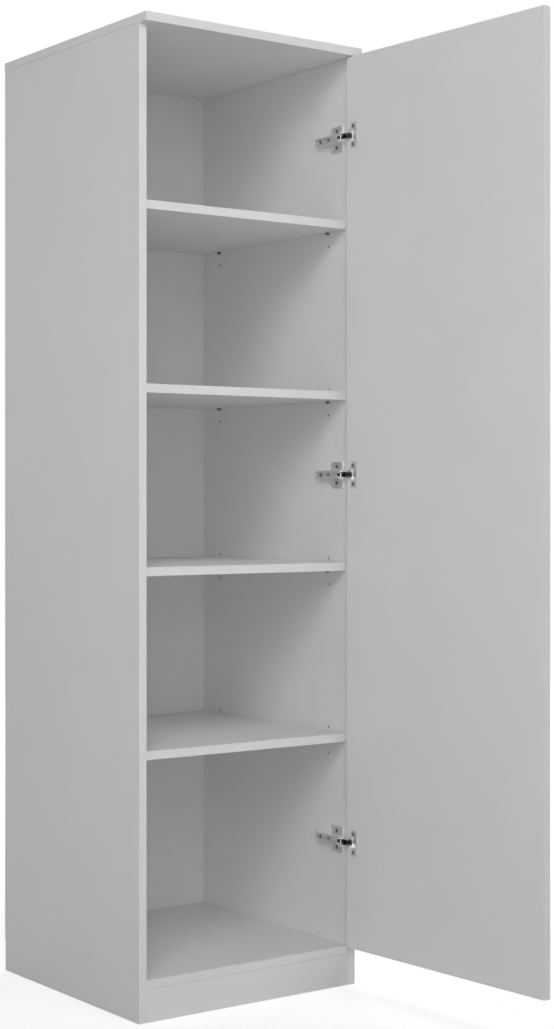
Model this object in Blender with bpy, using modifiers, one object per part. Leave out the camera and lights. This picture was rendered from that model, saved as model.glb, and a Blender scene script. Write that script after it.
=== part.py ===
"""Tall storage cabinet with one door, four loose shelves and three concealed cup hinges.

Metres, +Z up. X runs from the cabinet's left to its right, Y from its front to its back.
The origin lies on the floor, under the middle of the plinth board.
The door is drawn shut and then turned open about its upright axis, as it stands at rest.
"""

import math

import bmesh
import bpy
from mathutils import Matrix, Vector

MM = 0.001

# Clearance between pieces that touch each other
JOINT_GAP = 0.3 * MM

# Carcass
CABINET_WIDTH = 500 * MM
CABINET_HEIGHT = 1800 * MM
SIDE_DEPTH = 478 * MM
SIDE_THICKNESS = 16 * MM
TOP_THICKNESS = 16 * MM
TOP_OVERHANG = 22 * MM
BOTTOM_THICKNESS = 16 * MM
PLINTH_HEIGHT = 60 * MM
PLINTH_THICKNESS = 16 * MM
BACK_THICKNESS = 3 * MM
BACK_MARGIN = 1 * MM

# Shelves, counted from the top, and the pins that carry them
SHELF_COUNT = 4
SHELF_THICKNESS = 16 * MM
SHELF_SPACING = 313 * MM
SHELF_SETBACK = 5 * MM
SHELF_SIDE_GAP = 0.5 * MM
PIN_RADIUS = 2.5 * MM
PIN_NOSE = 1.5 * MM
PIN_REACH = 7 * MM
PIN_SHANK_RADIUS = 2.2 * MM
PIN_SHANK_DEPTH = 7.5 * MM
PIN_HOLE_RADIUS = 2.5 * MM
PIN_HOLE_DEPTH = 9 * MM
PIN_INSET = 60 * MM
PIN_HOLE_SPACING = 25 * MM

# Door
DOOR_THICKNESS = 16 * MM
DOOR_SIDE_REVEAL = 2.5 * MM
DOOR_TOP_REVEAL = 1.5 * MM
DOOR_BOTTOM_LAP = 1 * MM
DOOR_GAP = 3.5 * MM
DOOR_EDGE_ROUND = 0.8 * MM
DOOR_OPEN_ANGLE = math.radians(93)
AXIS_FROM_EDGE = 10 * MM
AXIS_FROM_INNER_FACE = 14.1 * MM

# Hinges, from the top down: each one's height above the middle of its compartment
HINGE_RISES = {
    "top_hinge": 3.5 * MM,
    "middle_hinge": 12.5 * MM,
    "bottom_hinge": 5 * MM,
}

# Hinge cup, pressed into the door
CUP_FROM_EDGE = 16.5 * MM
CUP_RADIUS = 13 * MM
CUP_DEPTH = 11 * MM
CUP_WALL = 1.2 * MM
CUP_FLOOR = 0.9 * MM
FLANGE_THICKNESS = 0.6 * MM
FLANGE_HEIGHT = 49 * MM
FLANGE_NEAR_REACH = 4 * MM
FLANGE_FAR_REACH = 12.5 * MM
FLANGE_CORNER = 2 * MM
CUP_SCREW_OFFSET = 3.5 * MM
CUP_SCREW_SPACING = 35 * MM

# Mounting plate, screwed to the side panel
PLATE_FRONT = 15 * MM
PLATE_WIDTH = 32 * MM
PLATE_HEIGHT = 49.5 * MM
PLATE_THICKNESS = 3 * MM
PLATE_CORNER = 3 * MM
PLATE_SCREW_SETBACK = 29 * MM
PLATE_SCREW_SPACING = 32 * MM
PLATE_SLOT_SETBACK = 42 * MM
PLATE_SLOT_RADIUS = 2.2 * MM
PLATE_SLOT_LENGTH = 6 * MM
RIDGE_LENGTH = 62 * MM
RIDGE_WIDTH = 10.4 * MM
RIDGE_ROUND = 0.6 * MM

# Arm, a channel of sheet steel that straddles the plate's ridge
ARM_REAR = 84 * MM
ARM_WIDTH = 14.4 * MM
ARM_TOP = 14 * MM
ARM_WALL = 1.5 * MM
ARM_WEB = 1.2 * MM
ARM_FOOT = 4.2 * MM
ARM_CORNER = 0.9 * MM
NOSE_RADIUS = 2.6 * MM
RIVET_RADIUS = 1 * MM
RIVET_HEAD = 0.5 * MM
FIXING_SCREW_SETBACK = 66 * MM
FIXING_SLOT_RADIUS = 2.3 * MM
ADJUSTER_SETBACK = 43 * MM
ADJUSTER_RADIUS = 2.7 * MM
ADJUSTER_STAND = 1.2 * MM

# Links: their pins in the arm's nose, as the height above the side panel and the setback,
# and the distance from the door's axis at which they end in the cup
OUTER_PIN_HEIGHT = 19 * MM
OUTER_PIN_SETBACK = 0.3 * MM
OUTER_LINK_REACH = 12.5 * MM
INNER_PIN_HEIGHT = 14.6 * MM
INNER_PIN_SETBACK = 12 * MM
INNER_LINK_REACH = 9.27 * MM
EYE_RADIUS = 1.9 * MM
EYE_HOLE_RADIUS = 1.2 * MM
INNER_LINK_THICKNESS = 1.8 * MM
INNER_LINK_WIDTH = 6 * MM
INNER_END_RADIUS = 1.1 * MM
INNER_CROSS_PIN_RADIUS = 0.9 * MM
OUTER_LINK_THICKNESS = 2.4 * MM
OUTER_END_RADIUS = 1.25 * MM
OUTER_CHEEK_INNER = 3.7 * MM
OUTER_CHEEK_OUTER = 5.1 * MM
BRIDGE_THICKNESS = 1 * MM
BRIDGE_OFFSET = 1.3 * MM
BRIDGE_START = 0.29
BRIDGE_END = 0.5
BEND_RADIUS = 1.2 * MM

# Bends of the links, from the door's inner hinge corner as it stands open
INNER_LINK_BENDS = ((-4.7 * MM, 10.3 * MM), (-3.3 * MM, -4.5 * MM), (0.1 * MM, -7.7 * MM))
OUTER_LINK_BENDS = ((-5.0 * MM, 4.3 * MM), (-3.9 * MM, -5.8 * MM))

# Screws
HEAD_RADIUS = 3.7 * MM
HEAD_HEIGHT = 2 * MM
# Points of a head's outline from its crown down, as shares of its radius and height
HEAD_CURVE = ((0.55, 0.94), (0.9, 0.6), (1, 0.2))
WOOD_SCREW_RADIUS = 1.7 * MM
WOOD_SCREW_LENGTH = 12 * MM
WOOD_SCREW_POINT = 2.5 * MM
MACHINE_SCREW_RADIUS = 1.9 * MM
MACHINE_SCREW_LENGTH = 8 * MM
SLOT_DEPTH = 1 * MM
SLOT_WIDTH = 0.9 * MM

# Steps round a circle
FINE_STEPS = 32
STEPS = 16
SCREW_STEPS = 12
SMALL_STEPS = 10
CORNER_STEPS = 8

# Planes and edges that follow from the sizes
LEFT = -CABINET_WIDTH / 2
RIGHT = CABINET_WIDTH / 2
INNER_LEFT = LEFT + SIDE_THICKNESS
INNER_RIGHT = RIGHT - SIDE_THICKNESS
FRONT = -PLINTH_THICKNESS / 2
REAR = FRONT + SIDE_DEPTH
BOTTOM_TOP = PLINTH_HEIGHT + BOTTOM_THICKNESS
CEILING = CABINET_HEIGHT - TOP_THICKNESS
DOOR_HINGE_EDGE = RIGHT - DOOR_SIDE_REVEAL
DOOR_FREE_EDGE = LEFT + DOOR_SIDE_REVEAL
DOOR_INNER_FACE = FRONT - DOOR_GAP
DOOR_AXIS = Vector((DOOR_HINGE_EDGE - AXIS_FROM_EDGE, DOOR_INNER_FACE - AXIS_FROM_INNER_FACE, 0))
CUP_CENTRE = DOOR_HINGE_EDGE - CUP_FROM_EDGE
SHELF_TOPS = [CEILING - n * SHELF_SPACING - (n - 1) * SHELF_THICKNESS for n in range(1, SHELF_COUNT + 1)]
PIN_SETBACKS = {"front": FRONT + PIN_INSET, "rear": REAR - PIN_INSET}


def compartment_middle(number):
    """The middle height of a compartment, counted from the top, where the first is number 0."""
    uppers = [CEILING] + [top - SHELF_THICKNESS for top in SHELF_TOPS]
    lowers = SHELF_TOPS + [BOTTOM_TOP]
    return (uppers[number] + lowers[number]) / 2


def hinge_height(order):
    """The height of a hinge, counted from the top, where all share the compartments evenly."""
    level = round(order * SHELF_COUNT / (len(HINGE_RISES) - 1))
    return compartment_middle(level) + list(HINGE_RISES.values())[order]


def turned_about(point, centre, angle):
    """A plan point after a turn about an upright axis."""
    return centre + Matrix.Rotation(angle, 3, "Z") @ (point - centre)


def collection(name):
    """A new collection in the scene."""
    made = bpy.data.collections.new(name)
    bpy.context.scene.collection.children.link(made)
    return made


def material(name, colour, roughness, metallic=0.0):
    """A plain material of one colour."""
    made = bpy.data.materials.new(name)
    made.use_nodes = True
    shader = made.node_tree.nodes["Principled BSDF"]
    shader.inputs["Base Color"].default_value = (*colour, 1.0)
    shader.inputs["Roughness"].default_value = roughness
    shader.inputs["Metallic"].default_value = metallic
    return made


def loose(mesh):
    """A working shape that later steps use up."""
    shape = bpy.data.objects.new("shape", mesh)
    WORKSHOP.objects.link(shape)
    return shape


def from_bmesh(work):
    """A working shape from edited geometry."""
    mesh = bpy.data.meshes.new("shape")
    work.to_mesh(mesh)
    work.free()
    return loose(mesh)


def finished(shape, merge=0.0):
    """The mesh of a working shape with its modifiers applied; the shape itself is removed."""
    bpy.context.view_layer.update()
    seen = shape.evaluated_get(bpy.context.evaluated_depsgraph_get())
    mesh = bpy.data.meshes.new_from_object(seen)
    mesh.transform(shape.matrix_world)
    bpy.data.objects.remove(shape)
    if merge:
        work = bmesh.new()
        work.from_mesh(mesh)
        bmesh.ops.remove_doubles(work, verts=work.verts, dist=merge)
        work.to_mesh(mesh)
        work.free()
    return mesh


def together(shapes):
    """Working shapes that don't meet each other, as one shape."""
    work = bmesh.new()
    for shape in shapes:
        work.from_mesh(shape.data)
        bpy.data.objects.remove(shape)
    return from_bmesh(work)


def combined(base, operation, *others):
    """A working shape joined with others, or cut by them; all of them are used up."""
    for other in others:
        step = base.modifiers.new(operation, "BOOLEAN")
        step.operation = operation
        step.solver = "EXACT"
        step.object = other
    mesh = finished(base)
    for other in others:
        bpy.data.objects.remove(other)
    return loose(mesh)


def block(low, high, rounding=0.0):
    """A box between two corners, with its edges rounded if asked."""
    low = Vector(low)
    high = Vector(high)
    work = bmesh.new()
    bmesh.ops.create_cube(work, size=1.0)
    bmesh.ops.scale(work, vec=high - low, verts=work.verts)
    bmesh.ops.translate(work, vec=(low + high) / 2, verts=work.verts)
    shape = from_bmesh(work)
    if rounding:
        edge = shape.modifiers.new("Rounded edges", "BEVEL")
        edge.width = rounding
        edge.segments = 2
        shape = loose(finished(shape))
    return shape


def rod(radius, start, end, steps=STEPS):
    """A cylinder between two points."""
    start = Vector(start)
    along = Vector(end) - start
    turn = along.to_track_quat("Z", "Y").to_matrix().to_4x4()
    place = Matrix.Translation(start + along / 2) @ turn
    work = bmesh.new()
    bmesh.ops.create_cone(
        work,
        cap_ends=True,
        segments=steps,
        radius1=radius,
        radius2=radius,
        depth=along.length,
        matrix=place,
    )
    return from_bmesh(work)


def turned(profile, steps=STEPS):
    """A turned shape from its profile of radius and height, listed down its outer side."""
    mesh = bpy.data.meshes.new("profile")
    points = [(radius, 0.0, height) for radius, height in profile]
    mesh.from_pydata(points, [(n, n + 1) for n in range(len(points) - 1)], [])
    shape = loose(mesh)
    spin = shape.modifiers.new("Turned", "SCREW")
    spin.steps = steps
    spin.render_steps = steps
    spin.use_merge_vertices = True
    spin.merge_threshold = 0.01 * MM
    return loose(finished(shape, merge=0.001 * MM))


def plate(outlines, low, high):
    """A flat plate between two heights, with its plan outline and those of its holes."""
    curve = bpy.data.curves.new("outline", "CURVE")
    curve.dimensions = "2D"
    curve.fill_mode = "BOTH"
    curve.extrude = (high - low) / 2
    for outline in outlines:
        spline = curve.splines.new("POLY")
        spline.points.add(len(outline) - 1)
        for point, place in zip(spline.points, outline):
            point.co = (place[0], place[1], 0.0, 1.0)
        spline.use_cyclic_u = True
    shape = bpy.data.objects.new("outline", curve)
    WORKSHOP.objects.link(shape)
    shape.location.z = (low + high) / 2
    return loose(finished(shape, merge=0.001 * MM))


def band(discs, low, high, steps=STEPS):
    """A plate between two heights, drawn like a tight band round discs of (x, y, radius)."""
    work = bmesh.new()
    for x, y, radius in discs:
        for height in (low, high):
            bmesh.ops.create_circle(
                work, segments=steps, radius=radius, matrix=Matrix.Translation((x, y, height))
            )
    bmesh.ops.convex_hull(work, input=work.verts)
    spare = [vertex for vertex in work.verts if not vertex.link_faces]
    bmesh.ops.delete(work, geom=spare, context="VERTS")
    bmesh.ops.dissolve_limit(work, angle_limit=math.radians(1), verts=work.verts, edges=work.edges)
    bmesh.ops.recalc_face_normals(work, faces=work.faces)
    return from_bmesh(work)


def rounded_rectangle(low, high, corner, bottom, top):
    """A plate with round corners, from its low and high plan corners."""
    discs = [
        (x, y, corner)
        for x in (low[0] + corner, high[0] - corner)
        for y in (low[1] + corner, high[1] - corner)
    ]
    return band(discs, bottom, top)


def moved(shape, matrix):
    """The working shape after a turn or a move."""
    shape.data.transform(matrix)
    shape.data.update()
    return shape


def smooth(mesh):
    """Shades the round faces of a mesh smooth, and keeps its sharp edges."""
    mesh.shade_smooth()
    mesh.set_sharp_from_angle(angle=math.radians(35))


def add_part(name, shape_or_mesh, finish, location=(0, 0, 0), parent=None, turn=0.0):
    """Puts a finished piece into the cabinet under its own name."""
    mesh = shape_or_mesh
    if isinstance(shape_or_mesh, bpy.types.Object):
        mesh = finished(shape_or_mesh)
    mesh.name = name
    if not mesh.materials:
        mesh.materials.append(finish)
    part = bpy.data.objects.new(name, mesh)
    PARTS.objects.link(part)
    part.location = location
    part.rotation_euler.z = turn
    part.parent = parent
    return part


def upright_axis(name, location, angle):
    """An empty on an upright axis, turned by an angle."""
    axis = bpy.data.objects.new(name, None)
    axis.empty_display_size = 20 * MM
    PARTS.objects.link(axis)
    axis.location = location
    axis.rotation_euler.z = angle
    return axis


def centred_board(name, low, high, finish, cuts=()):
    """A board between two corners, cut by holes, with its origin in its middle."""
    shape = block(low, high)
    if cuts:
        shape = combined(shape, "DIFFERENCE", together(cuts))
    middle = (Vector(low) + Vector(high)) / 2
    moved(shape, Matrix.Translation(-middle))
    return add_part(name, shape, finish, location=middle)


for old in list(bpy.data.objects):
    bpy.data.objects.remove(old)

PARTS = collection("storage_cabinet")
WORKSHOP = collection("workshop")

WHITE_BOARD = material("white_melamine", (0.8, 0.8, 0.8), 0.5)
WHITE_HARDBOARD = material("white_hardboard", (0.78, 0.78, 0.78), 0.6)
NICKEL_STEEL = material("nickel_plated_steel", (0.72, 0.71, 0.69), 0.35, 1.0)
ZINC_STEEL = material("dark_zinc_steel", (0.21, 0.2, 0.19), 0.45, 1.0)
BLACK_STEEL = material("black_coated_steel", (0.02, 0.02, 0.02), 0.3)

HINGE_HEIGHTS = {name: hinge_height(order) for order, name in enumerate(HINGE_RISES)}
PIN_HEIGHTS = [top - SHELF_THICKNESS - JOINT_GAP - PIN_RADIUS for top in SHELF_TOPS]


def pin_holes(face, inwards):
    """Blind holes for the shelf pins in a side panel, whose inner face is at the given X."""
    holes = []
    for height in PIN_HEIGHTS:
        for step in (-1, 0, 1):
            for setback in PIN_SETBACKS.values():
                mouth = Vector((face, setback, height + step * PIN_HOLE_SPACING))
                start = mouth + Vector((inwards * PIN_HOLE_DEPTH, 0, 0))
                end = mouth - Vector((inwards * PIN_HOLE_DEPTH, 0, 0))
                holes.append(rod(PIN_HOLE_RADIUS, start, end, SMALL_STEPS))
    return holes


def plate_screw_places(height):
    """The two screws of a mounting plate, in front of the side panel's inner face."""
    for step in (-1, 1):
        yield Vector((INNER_RIGHT, FRONT + PLATE_SCREW_SETBACK, height + step * PLATE_SCREW_SPACING / 2))


def plate_screw_holes():
    """Pilot holes in the right side panel for the screws of the mounting plates."""
    depth = WOOD_SCREW_LENGTH - PLATE_THICKNESS
    holes = []
    for height in HINGE_HEIGHTS.values():
        for mouth in plate_screw_places(height):
            reach = Vector((depth, 0, 0))
            holes.append(rod(WOOD_SCREW_RADIUS + JOINT_GAP, mouth - reach, mouth + reach, SMALL_STEPS))
    return holes


def build_carcass():
    """Sides, top, bottom, plinth and back."""
    side_top = CEILING - JOINT_GAP
    centred_board(
        "side_left", (LEFT, FRONT, 0), (INNER_LEFT, REAR, side_top), WHITE_BOARD, pin_holes(INNER_LEFT, -1)
    )
    centred_board(
        "side_right",
        (INNER_RIGHT, FRONT, 0),
        (RIGHT, REAR, side_top),
        WHITE_BOARD,
        pin_holes(INNER_RIGHT, 1) + plate_screw_holes(),
    )
    back_face = REAR + JOINT_GAP
    centred_board(
        "top_panel",
        (LEFT, FRONT - TOP_OVERHANG, CEILING),
        (RIGHT, back_face + BACK_THICKNESS, CABINET_HEIGHT),
        WHITE_BOARD,
    )
    left = INNER_LEFT + JOINT_GAP
    right = INNER_RIGHT - JOINT_GAP
    centred_board("bottom_panel", (left, FRONT, PLINTH_HEIGHT), (right, REAR, BOTTOM_TOP), WHITE_BOARD)
    centred_board(
        "plinth",
        (left, FRONT, 0),
        (right, FRONT + PLINTH_THICKNESS, PLINTH_HEIGHT - JOINT_GAP),
        WHITE_BOARD,
    )
    centred_board(
        "back_panel",
        (LEFT + BACK_MARGIN, back_face, PLINTH_HEIGHT + BACK_MARGIN),
        (RIGHT - BACK_MARGIN, back_face + BACK_THICKNESS, CEILING - JOINT_GAP),
        WHITE_HARDBOARD,
    )


def build_shelves():
    """Loose shelves, each lying on four pins."""
    pin = turned(
        [
            (0, PIN_REACH),
            (PIN_RADIUS - PIN_NOSE, PIN_REACH),
            (PIN_RADIUS, PIN_REACH - PIN_NOSE),
            (PIN_RADIUS, JOINT_GAP),
            (PIN_SHANK_RADIUS, JOINT_GAP),
            (PIN_SHANK_RADIUS, -PIN_SHANK_DEPTH),
            (0, -PIN_SHANK_DEPTH),
        ],
        SMALL_STEPS,
    )
    pin_mesh = finished(pin)
    smooth(pin_mesh)
    for number, (top, pin_height) in enumerate(zip(SHELF_TOPS, PIN_HEIGHTS), start=1):
        centred_board(
            f"shelf_{number}",
            (INNER_LEFT + SHELF_SIDE_GAP, FRONT + SHELF_SETBACK, top - SHELF_THICKNESS),
            (INNER_RIGHT - SHELF_SIDE_GAP, REAR - JOINT_GAP, top),
            WHITE_BOARD,
        )
        for side, face, lean in (("left", INNER_LEFT, 90), ("right", INNER_RIGHT, -90)):
            for row, setback in PIN_SETBACKS.items():
                part = add_part(f"shelf_{number}_pin_{side}_{row}", pin_mesh, ZINC_STEEL)
                part.location = (face, setback, pin_height)
                part.rotation_euler.y = math.radians(lean)


def in_door(x, y, z):
    """A place in the shut cabinet, as the door's axis sees it."""
    return Vector((x, y, z)) - DOOR_AXIS


def cup_screw_places(height):
    """The two screws of a cup, on the inner face of the shut door."""
    for step in (-1, 1):
        yield (CUP_CENTRE - CUP_SCREW_OFFSET, DOOR_INNER_FACE, height + step * CUP_SCREW_SPACING / 2)


def build_door(axis):
    """The door board, with a bore and two pilot holes for each cup."""
    low = in_door(DOOR_FREE_EDGE, DOOR_INNER_FACE - DOOR_THICKNESS, BOTTOM_TOP - DOOR_BOTTOM_LAP)
    high = in_door(DOOR_HINGE_EDGE, DOOR_INNER_FACE, CEILING - DOOR_TOP_REVEAL)
    shape = block(low, high, DOOR_EDGE_ROUND)
    cuts = []
    bore = Vector((0, CUP_DEPTH + JOINT_GAP, 0))
    pilot = Vector((0, WOOD_SCREW_LENGTH, 0))
    for height in HINGE_HEIGHTS.values():
        mouth = in_door(CUP_CENTRE, DOOR_INNER_FACE, height)
        cuts.append(rod(CUP_RADIUS + JOINT_GAP, mouth - bore, mouth + bore, FINE_STEPS))
        for place in cup_screw_places(height):
            mouth = in_door(*place)
            cuts.append(rod(WOOD_SCREW_RADIUS + JOINT_GAP, mouth - pilot, mouth + pilot, SMALL_STEPS))
    shape = combined(shape, "DIFFERENCE", together(cuts))
    add_part("door_panel", shape, WHITE_BOARD, parent=axis)


def screw_mesh(radius, length, point):
    """A pan-head screw; its seat is at the origin and its head is up."""
    mesh = finished(turned(
        [
            (0, HEAD_HEIGHT),
            *((out * HEAD_RADIUS, up * HEAD_HEIGHT) for out, up in HEAD_CURVE),
            (HEAD_RADIUS, 0),
            (radius, 0),
            (radius, point - length),
            (0, -length),
        ],
        SCREW_STEPS,
    ))
    smooth(mesh)
    return mesh


def adjuster_mesh():
    """The headless screw that sets the arm's height over the ridge; its lower end is at the origin."""
    length = ARM_WEB + ADJUSTER_STAND
    shape = rod(ADJUSTER_RADIUS, (0, 0, 0), (0, 0, length))
    past = 2 * ADJUSTER_RADIUS
    slot = block(
        (-past, -SLOT_WIDTH / 2, length - SLOT_DEPTH),
        (past, SLOT_WIDTH / 2, 2 * length),
    )
    mesh = finished(combined(shape, "DIFFERENCE", slot))
    smooth(mesh)
    return mesh


def mounting_plate_mesh():
    """The cross-shaped plate: two wings on the side panel and a ridge for the arm.

    Drawn with the side panel's face as the plane Z = 0, X to the rear and Y down the panel.
    """
    top = JOINT_GAP + PLATE_THICKNESS
    half = PLATE_HEIGHT / 2
    shape = rounded_rectangle(
        (PLATE_FRONT, -half), (PLATE_FRONT + PLATE_WIDTH, half), PLATE_CORNER, JOINT_GAP, top
    )
    ridge_front = PLATE_FRONT + RIDGE_ROUND
    ridge_top = ARM_TOP - ARM_WEB - JOINT_GAP
    ridge = block(
        (ridge_front, -RIDGE_WIDTH / 2, JOINT_GAP),
        (ridge_front + RIDGE_LENGTH, RIDGE_WIDTH / 2, ridge_top),
        RIDGE_ROUND,
    )
    shape = combined(shape, "UNION", ridge)
    cuts = []
    below = -top
    above = 2 * top
    for step in (-1, 1):
        across = step * PLATE_SCREW_SPACING / 2
        hole = WOOD_SCREW_RADIUS + JOINT_GAP
        place = (PLATE_SCREW_SETBACK, across)
        cuts.append(rod(hole, (*place, below), (*place, above), SMALL_STEPS))
        slot = PLATE_SLOT_LENGTH / 2 - PLATE_SLOT_RADIUS
        ends = [(PLATE_SLOT_SETBACK, across + side * slot, PLATE_SLOT_RADIUS) for side in (-1, 1)]
        cuts.append(band(ends, below, above, SMALL_STEPS))
    bore_bottom = ridge_top - MACHINE_SCREW_LENGTH
    place = (FIXING_SCREW_SETBACK, 0)
    cuts.append(
        rod(MACHINE_SCREW_RADIUS + JOINT_GAP, (*place, bore_bottom), (*place, 2 * ridge_top), SMALL_STEPS)
    )
    shape = combined(shape, "DIFFERENCE", together(cuts))
    mesh = finished(shape)
    smooth(mesh)
    return mesh


def arm_mesh():
    """The arm: a channel of sheet steel with a raised nose, whose two rivets carry the links.

    Drawn on the side panel's inner front corner at the hinge's height, X to the right.
    """
    half = ARM_WIDTH / 2
    top = ARM_CORNER - ARM_TOP
    foot = -ARM_FOOT - ARM_CORNER
    web_front = INNER_PIN_SETBACK + NOSE_RADIUS + JOINT_GAP
    front = web_front + ARM_CORNER
    rear = ARM_REAR - ARM_CORNER
    channel = [(top, front), (foot, front), (top, rear), (foot, rear)]
    body = band([(x, y, ARM_CORNER) for x, y in channel], -half, half, CORNER_STEPS)
    nose = band(
        [
            (-OUTER_PIN_HEIGHT, OUTER_PIN_SETBACK, NOSE_RADIUS),
            (-INNER_PIN_HEIGHT, INNER_PIN_SETBACK, NOSE_RADIUS),
            (top, front + NOSE_RADIUS, ARM_CORNER),
            (foot, front + NOSE_RADIUS, ARM_CORNER),
        ],
        -half,
        half,
    )
    shape = combined(body, "UNION", nose)
    inner = half - ARM_WALL
    ends = 2 * NOSE_RADIUS
    under_web = block((ARM_WEB - ARM_TOP, -ends, -inner), (ends, ARM_REAR + ends, inner))
    between_cheeks = block((-OUTER_PIN_HEIGHT - ends, -ends, -inner), (ends, web_front, inner))
    screw_x = -ARM_TOP
    slot_discs = [(FIXING_SCREW_SETBACK, 0, FIXING_SLOT_RADIUS), (ARM_REAR + ends, 0, FIXING_SLOT_RADIUS)]
    slot = moved(band(slot_discs, ARM_TOP - 2 * ARM_WEB, ARM_TOP + ends, SMALL_STEPS), OUT_OF_PANEL)
    adjuster_hole = rod(
        ADJUSTER_RADIUS + JOINT_GAP,
        (screw_x + 2 * ARM_WEB, ADJUSTER_SETBACK, 0),
        (screw_x - ends, ADJUSTER_SETBACK, 0),
    )
    shape = combined(shape, "DIFFERENCE", under_web, between_cheeks, slot, adjuster_hole)
    reach = half + RIVET_HEAD
    for x, y in ((-OUTER_PIN_HEIGHT, OUTER_PIN_SETBACK), (-INNER_PIN_HEIGHT, INNER_PIN_SETBACK)):
        shape = combined(shape, "UNION", rod(RIVET_RADIUS, (x, y, -reach), (x, y, reach)))
    mesh = finished(shape)
    smooth(mesh)
    return mesh


def cup_mesh():
    """The cup and its flange, drawn with the door's inner face as the plane Z = 0.

    X runs to the door's hinge edge; the flange covers the far side of the cup only.
    """
    top = JOINT_GAP + FLANGE_THICKNESS
    hollow = CUP_RADIUS - CUP_WALL
    shape = turned(
        [
            (0, CUP_FLOOR - CUP_DEPTH),
            (hollow, CUP_FLOOR - CUP_DEPTH),
            (hollow, top),
            (CUP_RADIUS, top),
            (CUP_RADIUS, -CUP_DEPTH),
            (0, -CUP_DEPTH),
        ],
        FINE_STEPS,
    )
    half = FLANGE_HEIGHT / 2
    flange = rounded_rectangle(
        (-FLANGE_FAR_REACH, -half), (FLANGE_NEAR_REACH, half), FLANGE_CORNER, JOINT_GAP, top
    )
    mouth = rod(hollow + CUP_WALL / 2, (0, 0, -top), (0, 0, 2 * top), FINE_STEPS)
    flange = combined(flange, "DIFFERENCE", mouth)
    shape = combined(shape, "UNION", flange)
    low_rim = block((FLANGE_NEAR_REACH, -CUP_RADIUS, 0), (2 * CUP_RADIUS, CUP_RADIUS, 2 * top))
    holes = [
        rod(
            WOOD_SCREW_RADIUS + JOINT_GAP,
            (-CUP_SCREW_OFFSET, step * CUP_SCREW_SPACING / 2, -top),
            (-CUP_SCREW_OFFSET, step * CUP_SCREW_SPACING / 2, 2 * top),
            SMALL_STEPS,
        )
        for step in (-1, 1)
    ]
    shape = combined(shape, "DIFFERENCE", low_rim, *holes)
    mesh = finished(shape)
    smooth(mesh)
    return mesh


def bent(points):
    """A plan path with its inner corners rounded."""
    path = [points[0]]
    for before, corner, after in zip(points, points[1:], points[2:]):
        back = before - corner
        ahead = after - corner
        reach = min(BEND_RADIUS, 0.4 * back.length, 0.4 * ahead.length)
        start = corner + back.normalized() * reach
        end = corner + ahead.normalized() * reach
        path.extend([start, (start + 2 * corner + end) / 4, end])
    path.append(points[-1])
    return path


def part_of_path(path, first, last):
    """The stretch of a path between two shares of its length."""
    lengths = [(b - a).length for a, b in zip(path, path[1:])]
    total = sum(lengths)
    cut = []
    run = 0.0
    for start, end, length in zip(path, path[1:], lengths):
        low = max(first * total, run)
        high = min(last * total, run + length)
        if low < high:
            if not cut:
                cut.append(start.lerp(end, (low - run) / length))
            cut.append(start.lerp(end, (high - run) / length))
        run += length
    return cut


def beside(path, offset):
    """The points of a path, each moved sideways; a positive offset is to the path's right."""
    points = []
    for n, point in enumerate(path):
        before = path[max(n - 1, 0)]
        after = path[min(n + 1, len(path) - 1)]
        along = (after - before).normalized()
        points.append(point + offset * Vector((along.y, -along.x, 0)))
    return points


def arc(centre, radius, first, last, steps):
    """Points round a centre, from one angle to another."""
    angles = [first + (last - first) * n / steps for n in range(steps + 1)]
    return [centre + radius * Vector((math.cos(angle), math.sin(angle), 0)) for angle in angles]


def round_end(centre, inwards, radius, thickness):
    """The round end of a strip, from its right side to its left as seen along the way in."""
    heading = math.atan2(inwards.y, inwards.x)
    mouth = math.asin(min(1.0, thickness / 2 / radius))
    return arc(centre, radius, heading - mouth, heading + mouth - 2 * math.pi, STEPS - 2)


def link_outline(path, thickness, start_radius, end_radius):
    """The plan outline of a strip with a disc at each end."""
    start = round_end(path[0], path[1] - path[0], start_radius, thickness)
    end = round_end(path[-1], path[-2] - path[-1], end_radius, thickness)
    right = beside(path, thickness / 2)[1:-1]
    left = beside(path, -thickness / 2)[1:-1]
    return right[::-1] + start + left + end


def link_ends(pin_height, pin_setback, reach):
    """The arm pin of a link, and its cup end with the door open, both in the arm's frame.

    The cup end lies the same distance from the arm pin with the door shut and open.
    """
    pin = Vector((-pin_height, pin_setback, 0))
    axis = DOOR_AXIS - Vector((INNER_RIGHT, FRONT, 0))
    towards = pin - axis
    shut = math.atan2(towards.y, towards.x) - DOOR_OPEN_ANGLE / 2
    shut_end = axis + reach * Vector((math.cos(shut), math.sin(shut), 0))
    return pin, turned_about(shut_end, axis, DOOR_OPEN_ANGLE)


def open_door_corner():
    """The inner hinge corner of the open door, in the arm's frame."""
    corner = Vector((DOOR_HINGE_EDGE, DOOR_INNER_FACE, 0))
    return turned_about(corner, DOOR_AXIS, DOOR_OPEN_ANGLE) - Vector((INNER_RIGHT, FRONT, 0))


def link_path(pin, end, bends):
    """The plan path of a link, from its arm pin past the open door's corner into the cup."""
    corner = open_door_corner()
    points = [pin] + [corner + Vector((*bend, 0)) for bend in bends] + [end]
    return bent(points)


def eye_hole(pin):
    """The outline of the hole round the arm's rivet."""
    return arc(pin, EYE_HOLE_RADIUS, 0, 2 * math.pi * (STEPS - 1) / STEPS, STEPS - 1)


def about_pin(shape, pin):
    """The finished mesh of a link, with its arm pin at the origin."""
    mesh = finished(moved(shape, Matrix.Translation(-pin)))
    smooth(mesh)
    return mesh


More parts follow.
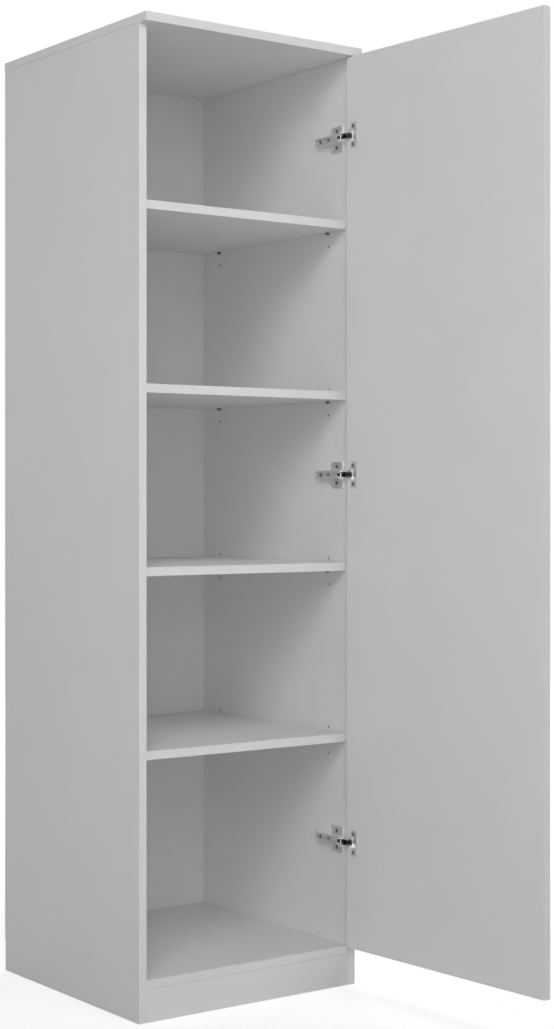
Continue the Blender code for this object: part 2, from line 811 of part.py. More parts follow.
def inner_link_mesh():
    """A goose-necked bar with an eye on the inner rivet and a cross pin in the cup."""
    pin, end = link_ends(INNER_PIN_HEIGHT, INNER_PIN_SETBACK, INNER_LINK_REACH)
    path = link_path(pin, end, INNER_LINK_BENDS)
    half = INNER_LINK_WIDTH / 2
    outline = link_outline(path, INNER_LINK_THICKNESS, EYE_RADIUS, INNER_END_RADIUS)
    shape = plate([outline, eye_hole(pin)], -half, half)
    up = Vector((0, 0, OUTER_CHEEK_OUTER))
    shape = combined(shape, "UNION", rod(INNER_CROSS_PIN_RADIUS, end - up, end + up, SMALL_STEPS))
    return about_pin(shape, pin)


def outer_link_mesh():
    """Two cheeks joined by a bridge on the side away from the door, with eyes on the outer rivet."""
    pin, end = link_ends(OUTER_PIN_HEIGHT, OUTER_PIN_SETBACK, OUTER_LINK_REACH)
    path = link_path(pin, end, OUTER_LINK_BENDS)
    bridge_path = part_of_path(path, BRIDGE_START, BRIDGE_END)
    near = beside(bridge_path, BRIDGE_OFFSET - BRIDGE_THICKNESS / 2)
    far = beside(bridge_path, BRIDGE_OFFSET + BRIDGE_THICKNESS / 2)
    bridge_half = (OUTER_CHEEK_INNER + OUTER_CHEEK_OUTER) / 2
    shape = plate([near + far[::-1]], -bridge_half, bridge_half)
    outline = link_outline(path, OUTER_LINK_THICKNESS, EYE_RADIUS, OUTER_END_RADIUS)
    for side in (-1, 1):
        low, high = sorted((side * OUTER_CHEEK_INNER, side * OUTER_CHEEK_OUTER))
        shape = combined(shape, "UNION", plate([outline, eye_hole(pin)], low, high))
    return about_pin(shape, pin)


# Turns a shape drawn flat, X to the rear and Z off the panel, onto the right side panel's face
OUT_OF_PANEL = Matrix(((0, 0, -1, 0), (1, 0, 0, 0), (0, -1, 0, 0), (0, 0, 0, 1)))

# Turns a shape drawn flat, X to the hinge edge and Z off the door, onto the shut door's inner face
OUT_OF_DOOR = Matrix(((1, 0, 0, 0), (0, 0, 1, 0), (0, -1, 0, 0), (0, 0, 0, 1)))


def placed_mesh(mesh, turn):
    """The mesh after a turn of its axes."""
    mesh.transform(turn)
    mesh.update()
    return mesh


def build_hinges(door_axis):
    """Three hinges, each of a plate, an arm, two links, a cup and their screws."""
    plate_mesh = placed_mesh(mounting_plate_mesh(), OUT_OF_PANEL)
    arm = arm_mesh()
    cup = placed_mesh(cup_mesh(), OUT_OF_DOOR)
    inner_link = inner_link_mesh()
    outer_link = outer_link_mesh()
    wood_screw = (WOOD_SCREW_RADIUS, WOOD_SCREW_LENGTH, WOOD_SCREW_POINT)
    panel_screw = placed_mesh(screw_mesh(*wood_screw), OUT_OF_PANEL)
    door_screw = placed_mesh(screw_mesh(*wood_screw), OUT_OF_DOOR)
    machine_screw = (MACHINE_SCREW_RADIUS, MACHINE_SCREW_LENGTH, 0)
    fixing_screw = placed_mesh(screw_mesh(*machine_screw), OUT_OF_PANEL)
    adjuster = placed_mesh(adjuster_mesh(), OUT_OF_PANEL)
    plate_top = 2 * JOINT_GAP + PLATE_THICKNESS
    flange_top = 2 * JOINT_GAP + FLANGE_THICKNESS
    for name, height in HINGE_HEIGHTS.items():
        root = Vector((INNER_RIGHT, FRONT, height))
        add_part(f"{name}_mounting_plate", plate_mesh, NICKEL_STEEL, root)
        add_part(f"{name}_arm", arm, NICKEL_STEEL, root)
        inner_pin = Vector((-INNER_PIN_HEIGHT, INNER_PIN_SETBACK, 0))
        add_part(f"{name}_inner_link", inner_link, BLACK_STEEL, root + inner_pin)
        outer_pin = Vector((-OUTER_PIN_HEIGHT, OUTER_PIN_SETBACK, 0))
        add_part(f"{name}_outer_link", outer_link, BLACK_STEEL, root + outer_pin)
        cup_place = in_door(CUP_CENTRE, DOOR_INNER_FACE, height)
        add_part(f"{name}_cup", cup, NICKEL_STEEL, cup_place, door_axis)
        for side, place in zip(("lower", "upper"), plate_screw_places(height)):
            seat = place - Vector((plate_top, 0, 0))
            add_part(f"{name}_plate_screw_{side}", panel_screw, ZINC_STEEL, seat)
        for side, place in zip(("lower", "upper"), cup_screw_places(height)):
            seat = in_door(*place) + Vector((0, flange_top, 0))
            add_part(f"{name}_cup_screw_{side}", door_screw, ZINC_STEEL, seat, door_axis)
        fixing_seat = root + Vector((-ARM_TOP - JOINT_GAP, FIXING_SCREW_SETBACK, 0))
        add_part(f"{name}_fixing_screw", fixing_screw, ZINC_STEEL, fixing_seat)
        adjuster_foot = root + Vector((ARM_WEB - ARM_TOP, ADJUSTER_SETBACK, 0))
        add_part(f"{name}_adjusting_screw", adjuster, ZINC_STEEL, adjuster_foot)


build_carcass()
build_shelves()
DOOR_AXIS_EMPTY = upright_axis("door_axis", DOOR_AXIS, DOOR_OPEN_ANGLE)
build_door(DOOR_AXIS_EMPTY)
build_hinges(DOOR_AXIS_EMPTY)
bpy.data.collections.remove(WORKSHOP)
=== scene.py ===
"""Looks of the tall storage cabinet: finishes, small fittings and a pale studio around it."""

import math

import bmesh
import bpy
from mathutils import Matrix, Vector


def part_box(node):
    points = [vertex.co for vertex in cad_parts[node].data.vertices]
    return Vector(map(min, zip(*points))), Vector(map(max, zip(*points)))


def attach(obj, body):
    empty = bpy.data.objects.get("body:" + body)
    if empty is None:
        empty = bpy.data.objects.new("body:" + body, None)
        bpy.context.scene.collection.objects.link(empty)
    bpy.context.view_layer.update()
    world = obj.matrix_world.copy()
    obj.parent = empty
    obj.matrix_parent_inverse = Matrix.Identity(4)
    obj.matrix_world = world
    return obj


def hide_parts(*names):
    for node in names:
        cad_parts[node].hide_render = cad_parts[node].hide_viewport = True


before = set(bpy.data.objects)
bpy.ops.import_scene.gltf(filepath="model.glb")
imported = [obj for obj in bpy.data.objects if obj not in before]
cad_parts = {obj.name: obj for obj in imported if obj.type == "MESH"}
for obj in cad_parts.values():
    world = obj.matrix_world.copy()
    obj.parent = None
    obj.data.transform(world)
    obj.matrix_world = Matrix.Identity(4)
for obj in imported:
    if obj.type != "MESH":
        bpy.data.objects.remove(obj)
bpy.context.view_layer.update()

MM = 0.001

# The photograph's frame in pixels, and the camera that was fitted to the cabinet's edges in it
PHOTO_WIDTH = 554
PHOTO_HEIGHT = 1029
FOCAL_PIXELS = 1901.92
PRINCIPAL_COLUMN = 183.583
HORIZON_ROW = 497.95
SENSOR = 36.0
CAMERA_PLACE = (-2.128812, -2.823651, 0.937195)
CAMERA_YAW = math.radians(-35.0518)

HINGES = ("top_hinge", "middle_hinge", "bottom_hinge")
BOARDS = {
    "carcass": [
        "side_left", "side_right", "top_panel", "bottom_panel", "plinth",
        "shelf_1", "shelf_2", "shelf_3", "shelf_4",
    ],
    "door": ["door_panel"],
}
DRILLED_BOARDS = ("side_left", "side_right")

BOARD_EDGE_ROUND = 0.4 * MM
HARDBOARD_EDGE_ROUND = 0.2 * MM
STEEL_EDGE_ROUND = 0.18 * MM
ROUNDING_STEPS = 2
COAT_THICKNESS = 0.5 * MM
COAT_BLEND = 0.1 * MM
SAME_POINT = 0.001 * MM
SAME_FACE_ANGLE = math.radians(0.5)
EASED_ANGLE = math.radians(40)
SHARP_ANGLE = math.radians(32)

# Directions: from the right side into the cabinet, and out of the open door's inner face
DOOR_OPEN = math.radians(93)
TO_ROOM = Vector((-1, 0, 0))
OUT_OF_DOOR = Matrix.Rotation(DOOR_OPEN, 3, "Z") @ Vector((0, 1, 0))


# Nodes

def linear(hex_colour):
    """A colour written as sRGB hex, turned linear."""
    shares = [int(hex_colour[n:n + 2], 16) / 255 for n in (1, 3, 5)]
    parts = [s / 12.92 if s <= 0.04045 else ((s + 0.055) / 1.055) ** 2.4 for s in shares]
    return (*parts, 1.0)


def add_node(tree, kind, settings=(), values=(), links=()):
    """Adds a node with its settings, its inputs' values and its inputs' sources."""
    node = tree.nodes.new(kind)
    for name, value in dict(settings).items():
        setattr(node, name, value)
    for socket, value in dict(values).items():
        node.inputs[socket].default_value = value
    for socket, source in dict(links).items():
        tree.links.new(source, node.inputs[socket])
    return node


def empty_material(name):
    """A material with an empty node tree."""
    made = bpy.data.materials.new(name)
    made.use_nodes = True
    made.node_tree.nodes.clear()
    return made, made.node_tree


def blotches(tree, place, size, detail=2.0, stretch=None):
    """Noise whose blotches measure about the given size; a stretch draws them out along an axis."""
    if stretch:
        place = add_node(
            tree, "ShaderNodeMapping", values={"Scale": stretch}, links={"Vector": place},
        ).outputs["Vector"]
    noise = add_node(
        tree, "ShaderNodeTexNoise",
        values={"Scale": 1 / size, "Detail": detail}, links={"Vector": place},
    )
    return noise.outputs["Fac"]


def spread(tree, value, low, high, first=0.3, last=0.7):
    """A value brought between two limits, from a noise's own middle range unless told."""
    return add_node(
        tree, "ShaderNodeMapRange",
        values={"From Min": first, "From Max": last, "To Min": low, "To Max": high},
        links={"Value": value},
    ).outputs["Result"]


def blend_colours(tree, share, first, second):
    """A colour between two, by a share."""
    values = {}
    links = {"Factor": share}
    for socket, colour in ((6, first), (7, second)):
        if isinstance(colour, str):
            values[socket] = linear(colour)
        else:
            links[socket] = colour
    return add_node(tree, "ShaderNodeMix", {"data_type": "RGBA"}, values, links).outputs[2]


def reckon(tree, operation, first, second):
    """The result of an operation on two numbers or sockets."""
    values = {}
    links = {}
    for socket, number in ((0, first), (1, second)):
        if isinstance(number, (int, float)):
            values[socket] = number
        else:
            links[socket] = number
    return add_node(tree, "ShaderNodeMath", {"operation": operation}, values, links).outputs[0]


def bumps(tree, height, depth, strength):
    """A bump of the given depth from a height."""
    return add_node(
        tree, "ShaderNodeBump", values={"Strength": strength, "Distance": depth},
        links={"Height": height},
    ).outputs["Normal"]


def seen_rays(tree):
    """1 for rays that show a surface to the camera, straight, mirrored or through glass."""
    path = add_node(tree, "ShaderNodeLightPath").outputs
    seen = reckon(tree, "MAXIMUM", path["Is Camera Ray"], path["Is Glossy Ray"])
    return reckon(tree, "MAXIMUM", seen, path["Is Transmission Ray"])


def finished(made, tree, values, links):
    """Ends a material's tree with its Principled shader."""
    shader = add_node(tree, "ShaderNodeBsdfPrincipled", values=values, links=links)
    add_node(tree, "ShaderNodeOutputMaterial", links={"Surface": shader.outputs["BSDF"]})
    return made


# Materials

def white_melamine():
    """Chipboard pressed with white melamine paper: satin, with the press plate's fine pebble.

    The pebble of a real plate is about 0.4 mm wide; it is drawn 1.6 mm wide so that it shows.
    """
    made, tree = empty_material("white_melamine")
    place = add_node(tree, "ShaderNodeTexCoord").outputs["Object"]
    cloud = blotches(tree, place, 120 * MM)
    colour = blend_colours(tree, spread(tree, cloud, 0.0, 1.0), "#E7E7E7", "#E9E9E9")
    pebble = blotches(tree, place, 1.6 * MM, 1.0)
    sheen = spread(tree, blotches(tree, place, 35 * MM), 0.46, 0.5)
    return finished(
        made, tree, {"IOR": 1.5},
        {
            "Base Color": colour,
            "Roughness": sheen,
            "Normal": bumps(tree, pebble, 0.02 * MM, 0.5),
        },
    )


def bare_chipboard():
    """The boards' core where a drill went through the coat: pressed wood chips, pale and rough.

    In a pin hole it gives the eye a dark dot.
    """
    made, tree = empty_material("bare_chipboard")
    place = add_node(tree, "ShaderNodeTexCoord").outputs["Object"]
    chips = spread(tree, blotches(tree, place, 2 * MM, 3.0), 0.0, 1.0)
    return finished(
        made, tree, {"IOR": 1.5, "Roughness": 0.9},
        {
            "Base Color": blend_colours(tree, chips, "#A79D90", "#C6BDB0"),
            "Normal": bumps(tree, chips, 0.2 * MM, 0.6),
        },
    )


def lacquered_hardboard():
    """Thin hardboard, lacquered white on the inside and left as bare brown fibre on the outside."""
    made, tree = empty_material("lacquered_hardboard")
    place = add_node(tree, "ShaderNodeTexCoord").outputs["Object"]
    depth = add_node(tree, "ShaderNodeSeparateXYZ", links={"Vector": place}).outputs["Y"]
    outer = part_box("back_panel")[1].y
    edge = outer - COAT_THICKNESS
    bare = spread(tree, depth, 0.0, 1.0, edge - COAT_BLEND, edge + COAT_BLEND)
    fibre = blotches(tree, place, 3 * MM, 4.0, (1.0, 1.0, 0.4))
    brown = blend_colours(tree, spread(tree, fibre, 0.0, 1.0), "#8A6B4C", "#A18463")
    white = blend_colours(
        tree, spread(tree, blotches(tree, place, 90 * MM), 0.0, 1.0), "#E4E4E4", "#E8E8E7",
    )
    peel = blotches(tree, place, 2.2 * MM, 1.5)
    return finished(
        made, tree, {"IOR": 1.5},
        {
            "Base Color": blend_colours(tree, bare, white, brown),
            "Roughness": spread(tree, bare, 0.55, 0.85, 0.0, 1.0),
            "Normal": bumps(tree, peel, 0.03 * MM, 0.5),
        },
    )


def nickel_plated_steel():
    """Stamped steel, barrel plated with nickel: soft bright reflections, wiped along the arm."""
    made, tree = empty_material("nickel_plated_steel")
    place = add_node(tree, "ShaderNodeTexCoord").outputs["Object"]
    cloud = blotches(tree, place, 6 * MM, 3.0)
    colour = blend_colours(tree, spread(tree, cloud, 0.0, 1.0), "#EDECEA", "#F8F7F5")
    wipe = blotches(tree, place, 1.5 * MM, 2.0, (1.0, 0.15, 1.0))
    return finished(
        made, tree, {"Metallic": 1.0},
        {
            "Base Color": colour,
            "Roughness": spread(tree, wipe, 0.44, 0.54),
            "Normal": bumps(tree, cloud, 0.05 * MM, 0.25),
        },
    )


def dark_zinc_steel():
    """Screws and shelf pins, duller and darker than the nickel of the hinges: partly a darker
    plating, partly painted shade for the dark dots of the screws' recesses and of the pins.
    """
    made, tree = empty_material("dark_zinc_steel")
    place = add_node(tree, "ShaderNodeTexCoord").outputs["Object"]
    cloud = blotches(tree, place, 2 * MM, 2.0)
    # Painted shade: this grey is darker than the plating alone, so that the screws' recesses and
    # the pins read as dark dots
    colour = blend_colours(tree, spread(tree, cloud, 0.0, 1.0), "#77746F", "#8E8B86")
    return finished(
        made, tree, {"Metallic": 1.0},
        {"Base Color": colour, "Roughness": spread(tree, cloud, 0.4, 0.52)},
    )


def black_coated_steel():
    """The hinges' steel links, near black with a soft gloss: a painted dark reflection of the dark
    surroundings that the links mirror.
    """
    made, tree = empty_material("black_coated_steel")
    place = add_node(tree, "ShaderNodeTexCoord").outputs["Object"]
    cloud = blotches(tree, place, 4 * MM, 2.0)
    # Painted dark reflection: this near-black colour stands in for the dark surroundings that the
    # steel links mirror
    colour = blend_colours(tree, spread(tree, cloud, 0.0, 1.0), "#060606", "#0B0B0B")
    return finished(
        made, tree, {"IOR": 1.3},
        {"Base Color": colour, "Roughness": spread(tree, cloud, 0.16, 0.24)},
    )


MELAMINE = white_melamine()
CHIPBOARD = bare_chipboard()
HARDBOARD = lacquered_hardboard()
NICKEL = nickel_plated_steel()
DARK_PLATING_AND_PAINTED_SHADE = dark_zinc_steel()
PAINTED_DARK_REFLECTION = black_coated_steel()


# Pieces

def dressed(node, body, edge_round, finish):
    """A smooth copy of a CAD piece with its edges eased, shown in its place."""
    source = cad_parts[node]
    work = bmesh.new()
    work.from_mesh(source.data)
    bmesh.ops.remove_doubles(work, verts=work.verts, dist=SAME_POINT)
    bmesh.ops.dissolve_limit(
        work, angle_limit=SAME_FACE_ANGLE, verts=work.verts, edges=work.edges,
    )
    mesh = bpy.data.meshes.new(f"{node}_dressed")
    work.to_mesh(mesh)
    work.free()
    piece = bpy.data.objects.new(f"{node}_dressed", mesh)
    bpy.context.scene.collection.objects.link(piece)
    ease = piece.modifiers.new("eased_edges", "BEVEL")
    ease.width = edge_round
    ease.segments = ROUNDING_STEPS
    ease.limit_method = "ANGLE"
    ease.angle_limit = EASED_ANGLE
    mesh.shade_smooth()
    even = piece.modifiers.new("even_faces", "WEIGHTED_NORMAL")
    even.weight = 100
    return settled(piece, body, finish, [node])


def settled(piece, body, finish, nodes):
    """Applies a piece's modifiers, gives it its finish, and lets it ride for its CAD nodes."""
    bpy.context.view_layer.update()
    shown = piece.evaluated_get(bpy.context.evaluated_depsgraph_get())
    mesh = bpy.data.meshes.new_from_object(shown)
    piece.modifiers.clear()
    piece.data = mesh
    mesh.materials.clear()
    mesh.materials.append(finish)
    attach(piece, body)
    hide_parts(*nodes)
    return piece


def bare_holes(piece, node):
    """Shows an upright board's core in its pin holes, whose faces lie below its coat."""
    low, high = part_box(node)
    coat = Vector([COAT_THICKNESS] * 3)
    piece.data.materials.append(CHIPBOARD)
    for face in piece.data.polygons:
        inside = [a < c < b for a, c, b in zip(low + coat, face.center, high - coat)]
        face.material_index = int(all(inside))


for body, boards in BOARDS.items():
    for board in boards:
        piece = dressed(board, body, BOARD_EDGE_ROUND, MELAMINE)
        if board in DRILLED_BOARDS:
            bare_holes(piece, board)
dressed("back_panel", "carcass", HARDBOARD_EDGE_ROUND, HARDBOARD)
for hinge in HINGES:
    for part, body in (("mounting_plate", "carcass"), ("arm", "carcass"), ("cup", "door")):
        dressed(f"{hinge}_{part}", body, STEEL_EDGE_ROUND, NICKEL)
    for part, body in (("outer_link", "outer_links"), ("inner_link", "inner_links")):
        dressed(f"{hinge}_{part}", body, STEEL_EDGE_ROUND, PAINTED_DARK_REFLECTION)


# Small turned fittings that repeat, made by geometry nodes

# Steps of a screw's head and a pin's nose above the cylinder that they start from: each rises by
# a share of the head's height or the pin's radius, and narrows to a share of the step below.
HEAD_START = 0.3
HEAD_STEPS = ((0.25, 0.95), (0.25, 0.84), (0.15, 0.72), (0.05, 0.5))
NOSE_RISE = 0.24
NOSE_STEPS = (0.97, 0.86, 0.6)
HEAD_SIDES = 32
SCREW_SHANK_SIDES = 16
PIN_SHANK_SIDES = 24
SCREW_POINT = 0.6
RECESS_HEIGHT = 1.3
RECESS_MIDDLE = 0.95
SPIN_SEED = 7


def fitting_tree(name, sizes):
    """An empty geometry tree with a points input, named sizes and a material input."""
    tree = bpy.data.node_groups.new(name, "GeometryNodeTree")
    face = tree.interface
    face.new_socket("Places", in_out="INPUT", socket_type="NodeSocketGeometry")
    for size in sizes:
        face.new_socket(size, in_out="INPUT", socket_type="NodeSocketFloat")
    face.new_socket("Finish", in_out="INPUT", socket_type="NodeSocketMaterial")
    face.new_socket("Geometry", in_out="OUTPUT", socket_type="NodeSocketGeometry")
    return tree, add_node(tree, "NodeGroupInput")


def lifted(tree, mesh, rise):
    """A mesh moved up by a height."""
    way = add_node(tree, "ShaderNodeCombineXYZ", links={"Z": rise}).outputs[0]
    return add_node(
        tree, "GeometryNodeTransform", links={"Geometry": mesh, "Translation": way},
    ).outputs[0]


def joined(tree, first, second):
    """Two meshes in one."""
    join = add_node(tree, "GeometryNodeJoinGeometry")
    for mesh in (first, second):
        tree.links.new(mesh, join.inputs[0])
    return join.outputs[0]


def turned_piece(tree, radius, height, steps):
    """A cylinder that grows upwards in steps, each of a height and a share of the last radius."""
    start = add_node(
        tree, "GeometryNodeMeshCylinder", values={"Vertices": HEAD_SIDES},
        links={"Radius": radius, "Depth": height},
    )
    mesh = lifted(tree, start.outputs["Mesh"], reckon(tree, "MULTIPLY", height, 0.5))
    top = start.outputs["Top"]
    for rise, share in steps:
        offset = add_node(tree, "ShaderNodeCombineXYZ", links={"Z": rise}).outputs[0]
        grown = add_node(
            tree, "GeometryNodeExtrudeMesh", values={"Offset Scale": 1.0},
            links={"Mesh": mesh, "Selection": top, "Offset": offset},
        )
        top = grown.outputs["Top"]
        mesh = add_node(
            tree, "GeometryNodeScaleElements", values={"Scale": share},
            links={"Geometry": grown.outputs["Mesh"], "Selection": top},
        ).outputs[0]
    return mesh


def set_on_places(tree, inputs, mesh, spin_seed=None):
    """Sets a fitting on each place, its Z along the place's axis, and ends the tree."""
    axis = add_node(
        tree, "GeometryNodeInputNamedAttribute", {"data_type": "FLOAT_VECTOR"}, {"Name": "axis"},
    ).outputs["Attribute"]
    turn = add_node(
        tree, "FunctionNodeAlignRotationToVector", {"axis": "Z"}, links={"Vector": axis},
    ).outputs["Rotation"]
    if spin_seed is not None:
        spin = add_node(
            tree, "FunctionNodeRandomValue", {"data_type": "FLOAT"},
            {2: 0.0, 3: math.pi / 2, "Seed": spin_seed},
        ).outputs[1]
        own = add_node(
            tree, "FunctionNodeAxisAngleToRotation", values={"Axis": (0, 0, 1)},
            links={"Angle": spin},
        ).outputs["Rotation"]
        turn = add_node(
            tree, "FunctionNodeRotateRotation", {"rotation_space": "LOCAL"},
            links={"Rotation": turn, "Rotate By": own},
        ).outputs["Rotation"]
    points = add_node(
        tree, "GeometryNodeInstanceOnPoints",
        links={"Points": inputs.outputs["Places"], "Instance": mesh, "Rotation": turn},
    ).outputs[0]
    solid = add_node(tree, "GeometryNodeRealizeInstances", links={"Geometry": points}).outputs[0]
    done = add_node(
        tree, "GeometryNodeSetMaterial",
        links={"Geometry": solid, "Material": inputs.outputs["Finish"]},
    ).outputs[0]
    add_node(tree, "NodeGroupOutput", links={0: done})
    return tree


def pan_screw_tree():
    """A pan-head screw with a cross recess; its seat is at the place and its shank goes down."""
    sizes = (
        "Head Radius", "Head Height", "Shank Radius", "Shank Length",
        "Recess Length", "Recess Width",
    )
    tree, inputs = fitting_tree("pan_head_screws", sizes)
    size = {name: inputs.outputs[name] for name in sizes}
    height = size["Head Height"]
    head = turned_piece(
        tree, size["Head Radius"], reckon(tree, "MULTIPLY", height, HEAD_START),
        [(reckon(tree, "MULTIPLY", height, rise), share) for rise, share in HEAD_STEPS],
    )
    depth = reckon(tree, "MULTIPLY", height, RECESS_HEIGHT)
    for along, across in (("Recess Length", "Recess Width"), ("Recess Width", "Recess Length")):
        box = add_node(
            tree, "ShaderNodeCombineXYZ", links={0: size[along], 1: size[across], 2: depth},
        ).outputs[0]
        cube = add_node(tree, "GeometryNodeMeshCube", links={"Size": box}).outputs["Mesh"]
        arm = lifted(tree, cube, reckon(tree, "MULTIPLY", height, RECESS_MIDDLE))
        head = add_node(
            tree, "GeometryNodeMeshBoolean", {"operation": "DIFFERENCE", "solver": "EXACT"},
            links={"Mesh 1": head, "Mesh 2": arm},
        ).outputs["Mesh"]
    shank = add_node(
        tree, "GeometryNodeMeshCone", values={"Vertices": SCREW_SHANK_SIDES},
        links={
            "Radius Top": size["Shank Radius"],
            "Radius Bottom": reckon(tree, "MULTIPLY", size["Shank Radius"], SCREW_POINT),
            "Depth": size["Shank Length"],
        },
    ).outputs["Mesh"]
    shank = lifted(tree, shank, reckon(tree, "MULTIPLY", size["Shank Length"], -1))
    return set_on_places(tree, inputs, joined(tree, head, shank), SPIN_SEED)


def shelf_pin_tree():
    """A turned shelf pin with a domed nose; the place is where it leaves the panel."""
    sizes = ("Radius", "Reach", "Shank Radius", "Shank Length")
    tree, inputs = fitting_tree("shelf_pins", sizes)
    size = {name: inputs.outputs[name] for name in sizes}
    rise = reckon(tree, "MULTIPLY", size["Radius"], NOSE_RISE)
    nose = reckon(tree, "MULTIPLY", rise, len(NOSE_STEPS))
    body = turned_piece(
        tree, size["Radius"], reckon(tree, "SUBTRACT", size["Reach"], nose),
        [(rise, share) for share in NOSE_STEPS],
    )
    shank = add_node(
        tree, "GeometryNodeMeshCylinder", values={"Vertices": PIN_SHANK_SIDES},
        links={"Radius": size["Shank Radius"], "Depth": size["Shank Length"]},
    ).outputs["Mesh"]
    shank = lifted(tree, shank, reckon(tree, "MULTIPLY", size["Shank Length"], -0.5))
    return set_on_places(tree, inputs, joined(tree, body, shank))


def fittings(name, tree, body, places, sizes, nodes, finish):
    """Fittings of one kind on one body; each place is a point and an axis."""
    mesh = bpy.data.meshes.new(name)
    mesh.from_pydata([tuple(point) for point, axis in places], [], [])
    axes = mesh.attributes.new("axis", "FLOAT_VECTOR", "POINT")
    for item, (point, axis) in zip(axes.data, places):
        item.vector = axis
    piece = bpy.data.objects.new(name, mesh)
    bpy.context.scene.collection.objects.link(piece)
    maker = piece.modifiers.new("fittings", "NODES")
    maker.node_group = tree
    wanted = dict(sizes, Finish=finish)
    for socket in tree.interface.items_tree:
        if socket.in_out == "INPUT" and socket.name in wanted:
            maker[socket.identifier] = wanted[socket.name]
    settled(piece, body, finish, nodes)
    piece.data.shade_smooth()
    piece.data.set_sharp_from_angle(angle=SHARP_ANGLE)


def middle(node):
    """The middle of a CAD node's box."""
    low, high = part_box(node)
    return (low + high) / 2


def seat_under_head(node, axis, head_height):
    """The seat of a screw whose head points along an axis, from its CAD node."""
    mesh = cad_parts[node].data
    far = max(vertex.co @ axis for vertex in mesh.vertices)
    centre = middle(node)
    return centre + axis * (far - head_height - centre @ axis)


HEAD_HEIGHT = 2 * MM
SCREW_SIZES = {
    "Head Radius": 3.7 * MM,
    "Head Height": HEAD_HEIGHT,
    "Shank Radius": 1.7 * MM,
    "Shank Length": 12 * MM,
    "Recess Length": 4.4 * MM,
    "Recess Width": 1.5 * MM,
}
SCREWS = pan_screw_tree()
MACHINE_SCREW_SIZES = dict(SCREW_SIZES, **{"Shank Radius": 1.9 * MM, "Shank Length": 8 * MM})
for name, body, ends, axis, sizes in (
    ("plate_screws", "carcass", ("plate_screw_lower", "plate_screw_upper"), TO_ROOM, SCREW_SIZES),
    ("cup_screws", "door", ("cup_screw_lower", "cup_screw_upper"), OUT_OF_DOOR, SCREW_SIZES),
    ("fixing_screws", "carcass", ("fixing_screw",), TO_ROOM, MACHINE_SCREW_SIZES),
):
    screw_nodes = [f"{hinge}_{end}" for hinge in HINGES for end in ends]
    seats = [(seat_under_head(node, axis, HEAD_HEIGHT), axis) for node in screw_nodes]
    fittings(name, SCREWS, body, seats, sizes, screw_nodes, DARK_PLATING_AND_PAINTED_SHADE)
for hinge in HINGES:
    dressed(f"{hinge}_adjusting_screw", "carcass", STEEL_EDGE_ROUND, DARK_PLATING_AND_PAINTED_SHADE)

# A pin's length from 0.3 mm before the panel, where its collar starts, to its nose
PIN_REACH = 6.7 * MM
PIN_SIZES = {
    "Radius": 2.5 * MM,
    "Reach": PIN_REACH,
    "Shank Radius": 2.2 * MM,
    "Shank Length": 7.5 * MM,
}
pin_nodes = []
pin_places = []
for number in (1, 2, 3, 4):
    for side, axis in (("left", -TO_ROOM), ("right", TO_ROOM)):
        for row in ("front", "rear"):
            node = f"shelf_{number}_pin_{side}_{row}"
            pin_nodes.append(node)
            pin_places.append((seat_under_head(node, axis, PIN_REACH), axis))
fittings(
    "shelf_pins", shelf_pin_tree(), "carcass", pin_places, PIN_SIZES, pin_nodes,
    DARK_PLATING_AND_PAINTED_SHADE,
)


# Studio

# The floor's own glow where it is seen: weaker near the cabinet, so that its shadow stays
FLOOR_WIDTH = 30
FLOOR_DROP = 0.2 * MM
NEAR_GLOW = 0.66
FAR_GLOW = 1.0
NEAR_REACH = 0.8
FAR_REACH = 3.0


def studio_floor():
    """A wide pale floor that is white to the camera and keeps the cabinet's soft shadow."""
    made, tree = empty_material("pale_floor")
    place = add_node(tree, "ShaderNodeTexCoord").outputs["Object"]
    away = add_node(
        tree, "ShaderNodeVectorMath", {"operation": "LENGTH"}, links={0: place},
    ).outputs["Value"]
    glow_here = spread(tree, away, NEAR_GLOW, FAR_GLOW, NEAR_REACH, FAR_REACH)
    paper = add_node(tree, "ShaderNodeBsdfDiffuse", values={"Color": linear("#BEBEBE")})
    glow = add_node(
        tree, "ShaderNodeEmission", values={"Color": (1, 1, 1, 1)},
        links={"Strength": reckon(tree, "MULTIPLY", seen_rays(tree), glow_here)},
    )
    both = add_node(
        tree, "ShaderNodeAddShader", links={0: paper.outputs[0], 1: glow.outputs[0]},
    )
    add_node(tree, "ShaderNodeOutputMaterial", links={"Surface": both.outputs[0]})
    bpy.ops.mesh.primitive_plane_add(size=FLOOR_WIDTH, location=(0, 0, -FLOOR_DROP))
    floor = bpy.context.object
    floor.name = "studio_floor"
    floor.data.materials.append(made)


def studio_world():
    """A surrounding that is white where it is seen or mirrored, and gives no light of its own."""
    world = bpy.data.worlds.new("studio")
    bpy.context.scene.world = world
    world.use_nodes = True
    tree = world.node_tree
    tree.nodes.clear()
    sky = add_node(
        tree, "ShaderNodeBackground", values={"Color": (1, 1, 1, 1)},
        links={"Strength": seen_rays(tree)},
    )
    add_node(tree, "ShaderNodeOutputWorld", links={"Surface": sky.outputs[0]})


def softbox(name, place, target, width, height, power):
    """A rectangular lamp that faces a target; its size is in metres and its power in watts."""
    lamp = bpy.data.lights.new(name, "AREA")
    lamp.shape = "RECTANGLE"
    lamp.size = width
    lamp.size_y = height
    lamp.energy = power
    made = bpy.data.objects.new(name, lamp)
    made.location = place
    way = Vector(target) - Vector(place)
    made.rotation_euler = way.to_track_quat("-Z", "Y").to_euler()
    bpy.context.scene.collection.objects.link(made)


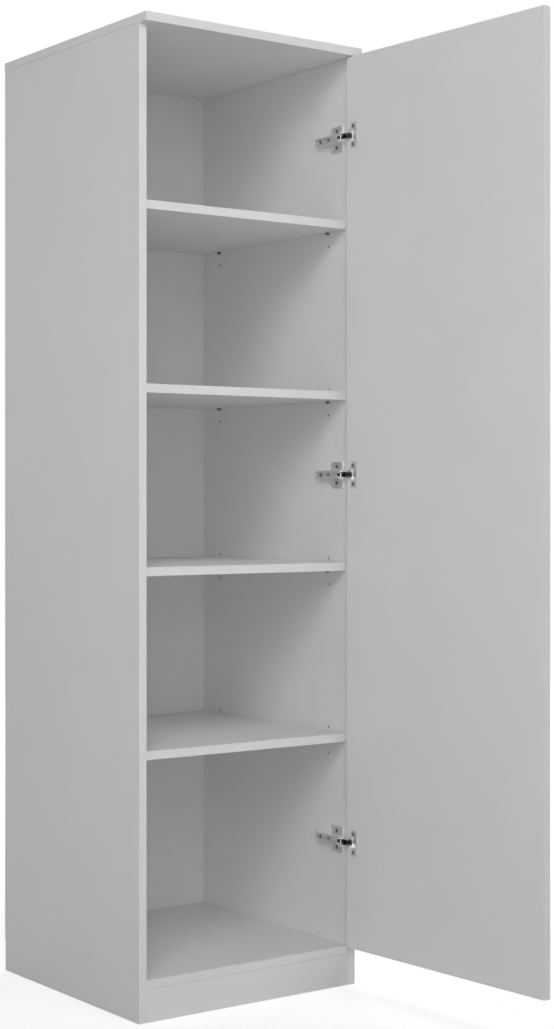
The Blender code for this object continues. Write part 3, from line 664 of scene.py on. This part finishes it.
# Each lamp's place, target, width, height and power. The first seven were fitted to the
# photograph's tones; the last four light the right side, the back and the top.
CABINET_MIDDLE = (0, 0, 0.9)
CABINET_TOP = (0.3, 0.5, 1.8)
SOFTBOXES = {
    "upper_left_softbox": ((-2.6, -2.6, 3.6), CABINET_MIDDLE, 1.4, 1.4, 43),
    "upper_right_softbox": ((1.5, -5.0, 4.5), CABINET_MIDDLE, 2.0, 2.0, 66),
    "left_softbox": ((-5.0, -3.0, 3.0), CABINET_MIDDLE, 2.0, 2.0, 27),
    "side_softbox": ((-5.0, 0.0, 2.0), CABINET_MIDDLE, 2.0, 2.0, 17),
    "camera_softbox": ((-2.0, -3.5, 2.6), CABINET_MIDDLE, 2.0, 2.0, 31),
    "low_softbox": ((-2.6, -4.2, 0.7), CABINET_MIDDLE, 2.0, 1.2, 20),
    "floor_card": ((-1.2, -1.5, 0.05), (-0.5, -0.5, 2.0), 1.2, 1.2, 9),
    "right_softbox": ((5.0, 0.5, 1.8), CABINET_MIDDLE, 2.0, 2.0, 60),
    "right_rear_softbox": ((3.6, 4.6, 2.2), CABINET_MIDDLE, 2.0, 2.0, 110),
    "rear_softbox": ((-0.5, 5.5, 1.8), CABINET_MIDDLE, 2.0, 2.0, 55),
    "upper_rear_softbox": ((0.9, 1.3, 4.6), CABINET_TOP, 2.0, 2.0, 34),
}
studio_floor()
studio_world()
for name, settings in SOFTBOXES.items():
    softbox(name, *settings)

lens = bpy.data.cameras.new("camera")
lens.sensor_width = SENSOR
lens.lens = FOCAL_PIXELS * SENSOR / PHOTO_HEIGHT
lens.shift_x = (PHOTO_WIDTH / 2 - PRINCIPAL_COLUMN) / PHOTO_HEIGHT
lens.shift_y = (HORIZON_ROW - PHOTO_HEIGHT / 2) / PHOTO_HEIGHT
lens.clip_end = 100
camera = bpy.data.objects.new("camera", lens)
camera.location = CAMERA_PLACE
camera.rotation_euler = (math.pi / 2, 0, CAMERA_YAW)
bpy.context.scene.collection.objects.link(camera)
bpy.context.scene.camera = camera
bpy.context.scene.view_settings.view_transform = "Standard"
